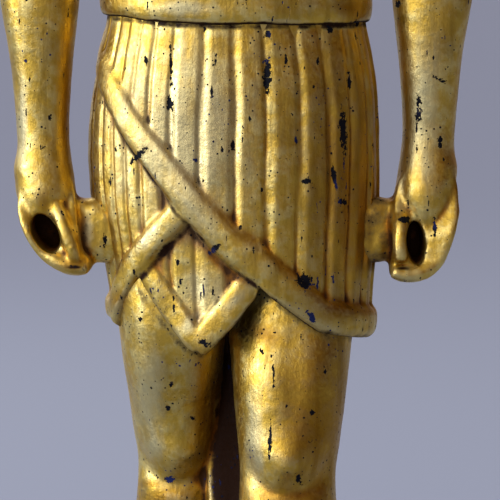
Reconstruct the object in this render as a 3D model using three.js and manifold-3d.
// A gilded wooden figurine of a striding man in a pleated wrap kilt, standing on a low plinth.
// Millimetres, +Z up, the figure faces -Y. The origin is the middle of the plinth's underside.
// The body is drawn on the old canon of proportion: 19 squares from the soles to the top of the wig.
import * as THREE from "three";
import { mergeVertices } from "three/addons/utils/BufferGeometryUtils.js";
import Module from "manifold-3d";

const wasm = await Module();
wasm.setup();

// Driving dimensions.
const figureHeight = 300; // soles to the top of the wig
const stride = 36; // left ankle ahead of the right ankle
const plinthHeight = 16;
const plinthEndMargin = 8; // plinth past the toes and the heels
const plinthSideMargin = 16; // plinth past the outer edges of the feet
const plinthChamfer = 1.2;
const beltHeight = 7.8;
const beltProud = 1.1; // belt out from the top of the kilt
const pleatCount = 28;
const pleatDepth = 1.0;
const clothLayer = 1.5; // the kilt's outer panel out from the tongue of cloth under it
const kiltDrawIn = 1.6; // its lower edge closes on the trailing thigh, on the figure's right
const hemHeight = 7.45; // squares over the soles, at the front
const bandWidth = 5.8; // rolled edges of the two wrapped panels
const bandProud = 1.2;
const tongueBandWidth = 5.2; // rolled edge of the tongue
const tongueBandProud = 1.0;
const fingerWidth = 3.9; // one finger along the row of four
const thumbThickness = 2.6;
const socketDepth = 11.5; // blind socket in the front of each fist
const bridgeHeight = 12; // bridge between fist and hip
const bridgeDepth = 9;
const bridgeLevel = 8.55; // squares over the soles
const wallRecess = 0.42; // squares from the leading leg's axis back to the wall between the legs
// Each fist in the front view, as [x, z] in squares off the body's middle line and the soles. The outline runs
// from the wrist's outer side down round the knuckles and up the inner side, and the thumb from tip to root.
// The socket has its middle in squares, its width and height in mm, and its lean in degrees.
const fists = {
  left: {
    outline: [
      [2.54, 9.25], [2.64, 8.86], [2.62, 8.66], [2.57, 8.46], [2.5, 8.27], [2.4, 8.11], [2.23, 8.0],
      [2.01, 7.96], [1.84, 8.0], [1.81, 8.14], [1.84, 8.35], [1.84, 8.75], [1.98, 9.25],
    ],
    thumb: [[1.94, 8.2], [1.95, 8.9]],
    socket: { x: 2.12, z: 8.43, width: 3.5, height: 8.2, lean: 4 },
  },
  right: {
    outline: [
      [2.5, 9.25], [2.58, 8.93], [2.57, 8.74], [2.51, 8.55], [2.42, 8.38], [2.28, 8.21], [2.1, 8.09],
      [1.92, 8.03], [1.74, 8.06], [1.69, 8.2], [1.8, 8.36], [1.86, 8.75], [1.98, 9.25],
    ],
    thumb: [[1.91, 8.22], [2.08, 8.86]],
    socket: { x: 2.24, z: 8.54, width: 4.7, height: 7.8, lean: -28 },
  },
};
const wigStrands = 22;
const wigGroove = 0.5;

// Derived sizes.
const square = figureHeight / 19;
const ankleLead = stride / 2;
const hipLevel = 9.2 * square;
const deep = 4; // how far a joined form reaches into its neighbour
const quarter = Math.PI / 2;
const turn = 2 * Math.PI;

// Solids from meshes.
function toManifold(geometry) {
  const bare = geometry.clone();
  bare.deleteAttribute("normal");
  bare.deleteAttribute("uv");
  const merged = mergeVertices(bare, 1e-4);
  return new wasm.Manifold(
    new wasm.Mesh({
      numProp: 3,
      vertProperties: merged.attributes.position.array,
      triVerts: new Uint32Array(merged.index.array),
    }),
  );
}

function toGeometry(solid) {
  const mesh = solid.getMesh();
  const geometry = new THREE.BufferGeometry();
  geometry.setAttribute("position", new THREE.BufferAttribute(mesh.vertProperties, 3));
  geometry.setIndex(new THREE.BufferAttribute(mesh.triVerts, 1));
  geometry.computeVertexNormals();
  return geometry;
}

const join = (solids) => solids.reduce((sum, solid) => sum.add(solid));

// The solid without the small pockets that joined forms close off inside it.
const withoutPockets = (solid) => solid.decompose().sort((a, b) => b.volume() - a.volume())[0];

// A closed solid over rings of equal length, each anticlockwise as seen from the end they lead to.
function loft(rings) {
  const count = rings[0].length;
  const points = rings.flat();
  const faces = [];
  for (let i = 0; i + 1 < rings.length; i++)
    for (let j = 0; j < count; j++) {
      const a = i * count + j;
      const b = i * count + ((j + 1) % count);
      faces.push(a, b, b + count, a, b + count, a + count);
    }
  for (const [first, flip] of [[0, true], [(rings.length - 1) * count, false]]) {
    const ring = points.slice(first, first + count);
    const middle = ring.reduce((sum, p) => sum.add(p), new THREE.Vector3()).divideScalar(count);
    points.push(middle);
    for (let j = 0; j < count; j++) {
      const edge = [first + j, first + ((j + 1) % count)];
      faces.push(points.length - 1, ...(flip ? edge.reverse() : edge));
    }
  }
  const geometry = new THREE.BufferGeometry().setFromPoints(points);
  geometry.setIndex(faces);
  return toManifold(geometry);
}

// Catmull-Rom rows between rows of numbers, so that a few stations give a smooth form.
function smooth(rows, steps) {
  const between = (p, q, r, s, t) =>
    q + 0.5 * t * (r - p + t * (2 * p - 5 * q + 4 * r - s + t * (3 * (q - r) + s - p)));
  const out = [];
  for (let i = 0; i + 1 < rows.length; i++) {
    const [p, q, r, s] = [i - 1, i, i + 1, i + 2].map((k) => rows[THREE.MathUtils.clamp(k, 0, rows.length - 1)]);
    for (let k = 0; k < steps; k++) out.push(q.map((_, c) => between(p[c], q[c], r[c], s[c], k / steps)));
  }
  out.push(rows.at(-1));
  return out;
}

const squares = (rows) => rows.map((row) => row.map((n) => n * square));
const bulge = (n, power) => Math.sign(n) * Math.abs(n) ** (2 / power);

// A level ring of a rounded outline.
function levelRing([z, x, y, halfWidth, halfDepth], count, power = 2.2) {
  return Array.from({ length: count }, (_, j) => {
    const angle = (turn * j) / count;
    return new THREE.Vector3(
      x + halfWidth * bulge(Math.cos(angle), power),
      y + halfDepth * bulge(Math.sin(angle), power),
      z,
    );
  });
}

// Stations may run either way: the rings are lofted from the lowest up.
const upward = (stations) => [...stations].sort((a, b) => a[0] - b[0]);
const limb = (stations, count, steps) =>
  loft(smooth(squares(upward(stations)), steps).map((row) => levelRing(row, count)));
const mirrored = (rows) => rows.map(([z, x, ...rest]) => [z, -x, ...rest]);

function ellipsoid(x, y, z, rx, ry, rz, detail = 10) {
  const ball = new THREE.SphereGeometry(1, detail, Math.round(detail * 0.6));
  ball.rotateX(quarter);
  ball.scale(rx * square, ry * square, rz * square);
  ball.translate(x * square, y * square, z * square);
  return toManifold(ball);
}

// A prism that runs front to back over an outline in the front view.
function frontPrism(outline, front, back) {
  const prism = new THREE.ExtrudeGeometry(new THREE.Shape(outline), { depth: back - front, bevelEnabled: false });
  prism.rotateX(quarter); // the outline's y becomes z, and the depth runs to -Y
  prism.translate(0, back, 0);
  return toManifold(prism);
}

function block(low, high) {
  const size = new THREE.Vector3().subVectors(high, low);
  const box = new THREE.BoxGeometry(size.x, size.y, size.z);
  box.translate(...low.clone().add(high).multiplyScalar(0.5).toArray());
  return toManifold(box);
}

// Torso and neck: height, x, y, half width, half depth, in squares.
const torsoStations = [
  [10.6, 0, 0.03, 1.46, 0.98],
  [11.3, 0, 0.03, 1.44, 0.95],
  [12.3, 0, 0.04, 1.36, 0.84],
  [13.2, 0, 0.02, 1.62, 0.86],
  [13.75, 0, 0.02, 1.86, 0.9],
  [13.95, 0, 0.0, 1.95, 0.99],
  [14.4, 0, 0.0, 2.08, 1.02],
  [15.0, 0, 0.04, 2.3, 0.92],
  [15.45, 0, 0.08, 2.34, 0.7],
  [15.75, 0, 0.1, 1.95, 0.56],
  [15.98, 0, 0.12, 1.2, 0.52],
  [16.3, 0, 0.1, 0.58, 0.5],
  [17.2, 0, 0.05, 0.52, 0.5],
];

const armStations = [
  [15.76, 2.02, 0.09, 0.24, 0.24],
  [15.63, 2.14, 0.08, 0.5, 0.4],
  [15.2, 2.36, 0.05, 0.62, 0.55],
  [14.6, 2.46, 0.05, 0.54, 0.56],
  [13.6, 2.44, 0.05, 0.46, 0.5],
  [12.6, 2.38, 0.06, 0.42, 0.46],
  [12.0, 2.34, 0.06, 0.43, 0.47],
  [11.4, 2.3, 0.02, 0.46, 0.46],
  [10.6, 2.28, -0.02, 0.375, 0.42],
  [9.85, 2.28, -0.04, 0.295, 0.36],
  [9.45, 2.27, -0.05, 0.31, 0.37],
  [9.0, 2.25, -0.07, 0.36, 0.42],
  [8.85, 2.25, -0.08, 0.3, 0.4],
];

// Leg on the figure's left: the y column is the muscle's shift from the leg's own axis.
const legStations = [
  [9.2, 0.7, 0.16, 0.66, 0.62],
  [8.0, 0.7, 0.08, 0.7, 0.66],
  [7.4, 0.66, 0.03, 0.7, 0.68],
  [6.7, 0.64, 0.0, 0.64, 0.68],
  [6.1, 0.62, 0.0, 0.58, 0.63],
  [5.6, 0.61, 0.04, 0.54, 0.57],
  [5.0, 0.63, 0.11, 0.57, 0.61],
  [4.3, 0.65, 0.17, 0.565, 0.62],
  [3.3, 0.62, 0.12, 0.44, 0.5],
  [2.2, 0.6, 0.06, 0.33, 0.38],
  [1.4, 0.6, 0.02, 0.29, 0.34],
  [0.9, 0.6, 0.0, 0.31, 0.38],
  [0.3, 0.6, 0.0, 0.32, 0.42],
  [-0.2, 0.6, 0.0, 0.32, 0.42],
];

// Foot: distance ahead of the ankle, half width, height, in squares.
const footStations = [
  [-0.64, 0.14, 0.3],
  [-0.52, 0.27, 0.62],
  [-0.2, 0.33, 0.95],
  [0.25, 0.36, 1.0],
  [0.8, 0.42, 0.74],
  [1.4, 0.53, 0.5],
  [1.9, 0.58, 0.38],
  [2.12, 0.56, 0.3],
];
const toes = [-0.4, -0.16, 0.05, 0.25, 0.44]; // middles across the foot, great toe first
const toeReach = [2.42, 2.4, 2.34, 2.25, 2.14];

// Kilt: height, half width, half depth, y, along the tops of the pleats, in squares.
const kiltStations = [
  [6.9, 1.56, 1.1, 0.02],
  [7.3, 1.6, 1.12, 0.03],
  [7.8, 1.64, 1.14, 0.05],
  [8.5, 1.69, 1.16, 0.07],
  [9.3, 1.71, 1.17, 0.08],
  [10.1, 1.69, 1.13, 0.06],
  [10.6, 1.62, 1.06, 0.04],
  [11.0, 1.54, 1.0, 0.03],
  [11.4, 1.5, 0.97, 0.03],
];
const beltLine = 11 * square; // the belt's lower edge
const hemLevel = (bearing) => (hemHeight - 0.16 * Math.sin(bearing)) * square; // lower on the figure's left

const kiltRows = smooth(squares(kiltStations), 8);
function kiltSize(z) {
  const above = kiltRows.findIndex((row) => row[0] >= z);
  const [low, high] = above < 1 ? [kiltRows.at(-2), kiltRows.at(-1)] : [kiltRows[above - 1], kiltRows[above]];
  const share = THREE.MathUtils.clamp((z - low[0]) / (high[0] - low[0]), 0, 1);
  return low.map((n, c) => n + share * (high[c] - n));
}

const drawnIn = (bearing, z) =>
  kiltDrawIn * Math.max(0, -Math.sin(bearing)) * THREE.MathUtils.smoothstep(9 * square - z, 0, 1.3 * square);

// A point of the kilt's surface, `out` mm off the pleats' tops. Bearing 0 is the front, 90 degrees the figure's left.
function kiltPoint(bearing, z, out = 0) {
  const [, halfWidth, halfDepth, y] = kiltSize(z);
  const off = out - drawnIn(bearing, z);
  return new THREE.Vector3((halfWidth + off) * Math.sin(bearing), y - (halfDepth + off) * Math.cos(bearing), z);
}

// Round-topped pleats with narrow grooves between them: 0 on a top, 1 in a groove.
function pleatGroove(bearing) {
  const share = bearing / (turn / pleatCount) + 0.2;
  const fromGroove = Math.abs(share - Math.round(share)) * 2;
  return (1 - fromGroove) ** 2;
}

function skirt(out, bottom, rows, pointsPerPleat) {
  const count = pleatCount * pointsPerPleat;
  const firstBearing = (-0.2 * turn) / pleatCount;
  const rings = Array.from({ length: rows + 1 }, (_, i) =>
    Array.from({ length: count }, (_, j) => {
      const bearing = firstBearing + (turn * j) / count;
      const z = THREE.MathUtils.lerp(bottom(bearing), beltLine + beltHeight / 2, i / rows);
      return kiltPoint(bearing, z, out - pleatDepth * pleatGroove(bearing));
    }),
  );
  return loft(rings);
}

// A rolled edge that follows the kilt's surface through points given as [bearing, height in squares].
function band(points, width, proud, out, steps) {
  const path = new THREE.CatmullRomCurve3(
    points.map(([bearing, z]) => new THREE.Vector3(bearing, z * square, 0)),
  ).getPoints(steps);
  const places = path.map((p) => kiltPoint(p.x, p.y, out));
  const sink = deep / 2;
  const profile = [
    [0.5, -sink],
    [0.5, proud * 0.4],
    [0.26, proud],
    [-0.26, proud],
    [-0.5, proud * 0.4],
    [-0.5, -sink],
  ];
  const rings = places.map((place, i) => {
    const ahead = places[Math.min(i + 1, places.length - 1)];
    const behind = places[Math.max(i - 1, 0)];
    const along = new THREE.Vector3().subVectors(ahead, behind).normalize();
    const outward = kiltPoint(path[i].x, path[i].y, out + 1).sub(place).normalize();
    const across = new THREE.Vector3().crossVectors(outward, along).normalize();
    return profile.map(([side, rise]) =>
      place.clone().addScaledVector(across, side * width).addScaledVector(outward, rise),
    );
  });
  return loft(rings);
}

// Bearing of a point of the kilt that the front view shows at x squares, at a height of z squares.
const bearingAt = (x, z) => Math.asin(THREE.MathUtils.clamp((x * square) / kiltSize(z * square)[1], -1, 1));
const onFront = (points) => points.map(([x, z]) => [bearingAt(x, z), z]);

// Middle lines of the three rolled edges, as [x, z] of the front view in squares.
const wrapEdge = [
  [-1.6, 10.58], [-1.4, 10.14], [-1.17, 9.76], [-0.89, 9.4], [-0.52, 8.95], [-0.05, 8.46], [0.29, 8.2], [0.57, 7.95],
  [0.93, 7.67], [1.1, 7.57],
];
const underEdge = [[-0.5, 9.0], [-0.68, 8.8], [-1.08, 8.37], [-1.43, 7.9], [-1.5, 7.73]];
const tongueEdge = [
  [-1.1, 8.1], [-0.79, 7.68], [-0.6, 7.47], [-0.46, 7.35], [-0.25, 7.51], [-0.04, 7.74], [0.26, 8.09],
];

function kilt() {
  const front = -3 * square;
  const back = -0.3 * square;
  const openingOutline = [
    [-2.4, 7.62], [-1.46, 7.6], [-0.6, 8.72], [-0.38, 8.52], [0.23, 7.98], [0.62, 7.66], [0.87, 7.46],
    [1.04, 7.36], [1.04, 6.2], [-2.4, 6.2],
  ];
  const tongueOutline = [
    [-1.15, 7.94], [-0.87, 7.6], [-0.67, 7.36], [-0.46, 7.22], [-0.2, 7.38], [0.04, 7.64], [0.3, 7.94],
    [-0.4, 8.75], [-0.75, 8.75],
  ];
  const toPoints = (outline) => outline.map(([x, z]) => new THREE.Vector2(x * square, z * square));
  const shell = skirt(0, hemLevel, 4, 3).subtract(frontPrism(toPoints(openingOutline), front, back));
  const tongueBottom = () => 6.95 * square;
  const tongue = skirt(-clothLayer, tongueBottom, 1, 3).intersect(
    frontPrism(toPoints(tongueOutline), front, back),
  );
  const besideBack = [[-2.15, 11.3], [-1.8, 10.95]]; // bearing in radians, height in squares
  const hem = [[1.05, 7.5], [1.35, 7.46], [1.57, 7.45]];
  const hemBand = Array.from({ length: 13 }, (_, i) => {
    const bearing = THREE.MathUtils.lerp(1.8, 4.4, i / 12);
    return [bearing, hemLevel(bearing) / square + 0.17];
  });
  return join([
    shell,
    tongue,
    band([...besideBack, ...onFront(wrapEdge), ...hem, ...hemBand], bandWidth, bandProud, 0, 38),
    band(onFront(underEdge), bandWidth, bandProud * 0.8, -0.2, 8),
    band(onFront(tongueEdge), tongueBandWidth, tongueBandProud, -clothLayer, 14),
  ]);
}

function belt() {
  const [, halfWidth, halfDepth, y] = kiltSize(beltLine);
  const rows = [
    [0, 0],
    [0.16, 1],
    [0.84, 1],
    [1, 0],
  ];
  return loft(
    rows.map(([share, proud]) =>
      levelRing(
        [beltLine + beltHeight * share, 0, y, halfWidth + beltProud * proud, halfDepth + beltProud * proud],
        32,
        2,
      ),
    ),
  );
}

// An arm with its fist, drawn on the figure's left. The fist is a row of four curled fingers, front to back.
function arm({ outline, thumb, socket }) {
  const middleY = -0.08 * square;
  const edge = outline.map(([x, z]) => new THREE.Vector3(x * square, 0, z * square));
  const middle = edge.reduce((sum, p) => sum.add(p), new THREE.Vector3()).divideScalar(edge.length);
  const shrinks = [0.12, 0, 0.25, 0.75]; // fore, middle, ring and little finger
  const fingers = shrinks.map((shrink, i) => {
    const rows = [[0, 0.7], [0.3, 0], [0.7, 0], [1, 0.7]];
    const rings = rows.map(([share, inset]) =>
      edge.map((p) => {
        const inward = new THREE.Vector3().subVectors(middle, p).setLength(shrink + inset);
        return inward.add(p).setY(middleY + (i - 2 + share) * fingerWidth);
      }),
    );
    return loft(rings);
  });
  const hollow = levelRing([0, 0, 0, socket.width / 2, socket.height / 2], 12).map((p) => {
    p.applyAxisAngle(new THREE.Vector3(0, 0, 1), THREE.MathUtils.degToRad(socket.lean));
    return new THREE.Vector2(p.x + socket.x * square, p.y + socket.z * square);
  });
  const frontY = middleY - 2 * fingerWidth;
  const [tip, root] = thumb;
  const thumbRows = [[0, 0.55], [0.12, 0.95], [0.5, 1], [0.85, 0.95], [1.1, 0.6]].map(([share, size]) => [
    THREE.MathUtils.lerp(tip[1], root[1], share) * square,
    THREE.MathUtils.lerp(tip[0], root[0], share) * square,
    frontY + 0.2,
    thumbThickness * 0.52 * size,
    thumbThickness * 0.62 * size,
  ]);
  return join([
    limb(armStations, 12, 1),
    ...fingers,
    loft(thumbRows.map((row) => levelRing(row, 8))),
  ]).subtract(frontPrism(hollow, frontY - 2 * thumbThickness, frontY + socketDepth));
}

// The short bridge that ties a fist to the hip, drawn on the figure's left.
function bridge() {
  const middleZ = bridgeLevel * square;
  const hip = kiltPoint(quarter, middleZ).x;
  const hand = 1.86 * square;
  const rows = [
    [hip - deep, 1.1],
    [hip + 0.2, 1.05],
    [(hip + hand) / 2, 0.86],
    [hand, 1],
    [hand + 1.2, 1],
  ];
  return loft(
    rows.map(([x, share]) =>
      levelRing([0, 0, 0, (bridgeDepth / 2) * share, (bridgeHeight / 2) * share], 12, 3).map(
        (p) => new THREE.Vector3(x, p.x - 0.08 * square, p.y + middleZ),
      ),
    ),
  );
}

const mirror = (solid) => solid.mirror([1, 0, 0]);

// Legs: the left one leads and is the stouter, and the right one trails, straight from the hips.
const stoutness = (side) => (side > 0 ? 1.05 : 0.92);
const leanOut = (side) => (side > 0 ? 0 : 0.013);
const thighForward = 0.2 * square; // the trailing thigh comes forward under the kilt, and is deeper there
const legAxis = (z, side) => -side * ankleLead * (1 - Math.max(z, 0) / hipLevel);

function leg(side) {
  const rows = smooth(squares(upward(legStations)), 1).map(([z, x, y, a, b]) => {
    const thigh = side > 0 ? 0 : THREE.MathUtils.smoothstep(z, 6 * square, 7.5 * square);
    return [
      z,
      side * (x + leanOut(side) * z),
      y + legAxis(z, side) - thighForward * thigh,
      a * stoutness(side),
      b * stoutness(side) * (1 + 0.25 * thigh),
    ];
  });
  const kneeY = legAxis(6 * square, side) / square;
  return join([
    loft(rows.map((row) => levelRing(row, 14))),
    ellipsoid(side * (0.6 + 6 * leanOut(side)), kneeY - 0.4 * stoutness(side), 5.98, 0.34, 0.24, 0.44, 8),
  ]);
}

function foot(side) {
  const ankle = new THREE.Vector3(side * 0.6 * square, -side * ankleLead, 0);
  const rings = smooth(squares(footStations), 1).map(([ahead, halfWidth, height]) =>
    levelRing([0, 0, 0, halfWidth, height], 12, 2.3).map(
      (p) => new THREE.Vector3(ankle.x + p.x, ankle.y - ahead, p.y),
    ),
  );
  const toeSolids = toes.map((across, i) => {
    const width = i ? 0.115 : 0.16;
    const reach = toeReach[i];
    return ellipsoid(
      ankle.x / square + side * across,
      ankle.y / square - reach + 0.5,
      0.13,
      width,
      0.56,
      i ? 0.17 : 0.21,
      6,
    );
  });
  return join([loft(rings), ...toeSolids]);
}

// Between the striding legs the carver left a thin wall standing.
function legWall() {
  const halfWidth = 0.34 * square;
  const rings = [-0.2, 3, 6, 8.6].map((level) => {
    const z = level * square;
    const front = legAxis(z, 1) + wallRecess * square;
    const back = legAxis(z, -1) - 0.1 * square;
    const middle = (front + back) / 2;
    const halfDepth = Math.max((back - front) / 2, 0.12 * square);
    return levelRing([z, 0, middle, halfWidth, halfDepth], 12, 8);
  });
  return loft(rings);
}

function head() {
  const skull = [
    [16.5, 0, -0.46, 0.2, 0.24],
    [16.62, 0, -0.38, 0.4, 0.48],
    [16.95, 0, -0.3, 0.56, 0.66],
    [17.4, 0, -0.24, 0.645, 0.75],
    [17.85, 0, -0.18, 0.67, 0.79],
    [18.3, 0, -0.1, 0.62, 0.76],
  ];
  const nose = [
    [17.06, 0, -0.93, 0.1, 0.08],
    [17.13, 0, -0.98, 0.16, 0.16],
    [17.26, 0, -0.99, 0.12, 0.14],
    [17.5, 0, -0.95, 0.075, 0.08],
    [17.76, 0, -0.92, 0.07, 0.07],
  ];
  const features = [-1, 1].flatMap((side) => [
    ellipsoid(side * 0.28, -0.83, 17.53, 0.18, 0.11, 0.075, 6),
    ellipsoid(side * 0.29, -0.86, 17.73, 0.22, 0.08, 0.04, 6),
    ellipsoid(side * 0.75, -0.2, 17.38, 0.1, 0.18, 0.27, 6),
  ]);
  return join([
    limb(skull, 20, 1),
    limb(nose, 8, 1),
    ...features,
    ellipsoid(0, -0.9, 16.93, 0.22, 0.09, 0.055, 6),
    ellipsoid(0, -0.88, 16.84, 0.17, 0.09, 0.055, 6),
  ]);
}

function grooved(row, strands, groove) {
  const perStrand = 2;
  return levelRing(row, strands * perStrand, 2.1).map((p, j) => {
    const middle = new THREE.Vector3(row[1], row[2], row[0]);
    const depth = j % perStrand ? 0 : Math.min(groove, p.distanceTo(middle) * 0.1);
    return p.add(middle.sub(p).setLength(depth));
  });
}

function wig() {
  const cap = [
    [15.35, 0, 0.62, 0.92, 0.3],
    [15.8, 0, 0.5, 1.05, 0.5],
    [16.4, 0, 0.28, 1.16, 0.78],
    [17.1, 0, 0.12, 1.16, 0.96],
    [17.7, 0, 0.02, 1.08, 1.04],
    [18.3, 0, 0.0, 0.94, 1.0],
    [18.78, 0, 0.02, 0.62, 0.7],
    [19.0, 0, 0.03, 0.16, 0.18],
  ];
  const lappet = [
    [14.2, 0.8, -1.0, 0.34, 0.2],
    [15.1, 0.82, -0.95, 0.36, 0.22],
    [15.7, 0.86, -0.73, 0.36, 0.27],
    [16.3, 0.9, -0.4, 0.32, 0.3],
    [16.9, 0.92, -0.2, 0.24, 0.26],
    [17.4, 0.9, -0.04, 0.14, 0.14],
  ];
  const window = new THREE.Shape();
  const half = 0.79 * square;
  const brow = 18.02 * square;
  window.moveTo(-half, 15 * square);
  window.lineTo(half, 15 * square);
  window.lineTo(half, brow - half * 0.8);
  window.absellipse(0, brow - half * 0.8, half, half * 0.8, 0, Math.PI);
  const cut = frontPrism(window.getPoints(4), -3 * square, -0.06 * square);
  const strandRings = (rows, strands, steps) =>
    loft(smooth(squares(rows), steps).map((row) => grooved(row, strands, wigGroove)));
  return join([
    strandRings(cap, wigStrands, 1).subtract(cut),
    strandRings(lappet, 6, 1),
    strandRings(mirrored(lappet), 6, 1),
  ]);
}

// Plan sizes of the footprint, which place the figure over the plinth.
const toeLine = -ankleLead - (Math.max(...toeReach) + 0.06) * square;
const heelLine = ankleLead + 0.66 * square;
const feetHalfSpan = (0.6 + 0.58) * square;

function figureSolid() {
  const body = join([
    limb(torsoStations, 18, 1),
    arm(fists.left),
    bridge(),
    mirror(arm(fists.right)),
    mirror(bridge()),
    kilt(),
    belt(),
    leg(1),
    leg(-1),
    foot(1),
    foot(-1),
    legWall(),
    head(),
    wig(),
  ]);
  const far = figureHeight;
  const ground = block(new THREE.Vector3(-far, -far, -far), new THREE.Vector3(far, far, 0));
  return withoutPockets(body.subtract(ground).simplify(0.1)).translate([0, -(toeLine + heelLine) / 2, plinthHeight]);
}

function plinthSolid() {
  const halfWidth = feetHalfSpan + plinthSideMargin;
  const halfDepth = (heelLine - toeLine) / 2 + plinthEndMargin;
  const ring = (z, inset) =>
    [[-1, -1], [1, -1], [1, 1], [-1, 1]].map(
      ([x, y]) => new THREE.Vector3(x * (halfWidth - inset), y * (halfDepth - inset), z),
    );
  return loft([
    ring(0, plinthChamfer),
    ring(plinthChamfer, 0),
    ring(plinthHeight - plinthChamfer, 0),
    ring(plinthHeight, plinthChamfer),
  ]);
}

const gilding = new THREE.MeshStandardMaterial({ color: "#c9a24a", roughness: 0.38, metalness: 1 });
const darkPaint = new THREE.MeshStandardMaterial({ color: "#16171f", roughness: 0.5, metalness: 0 });

function named(name, solid, material) {
  const mesh = new THREE.Mesh(toGeometry(solid), material);
  mesh.name = name;
  return mesh;
}

const figurine = new THREE.Group();
figurine.add(named("figure", figureSolid(), gilding), named("plinth", plinthSolid(), darkPaint));

export default figurine;
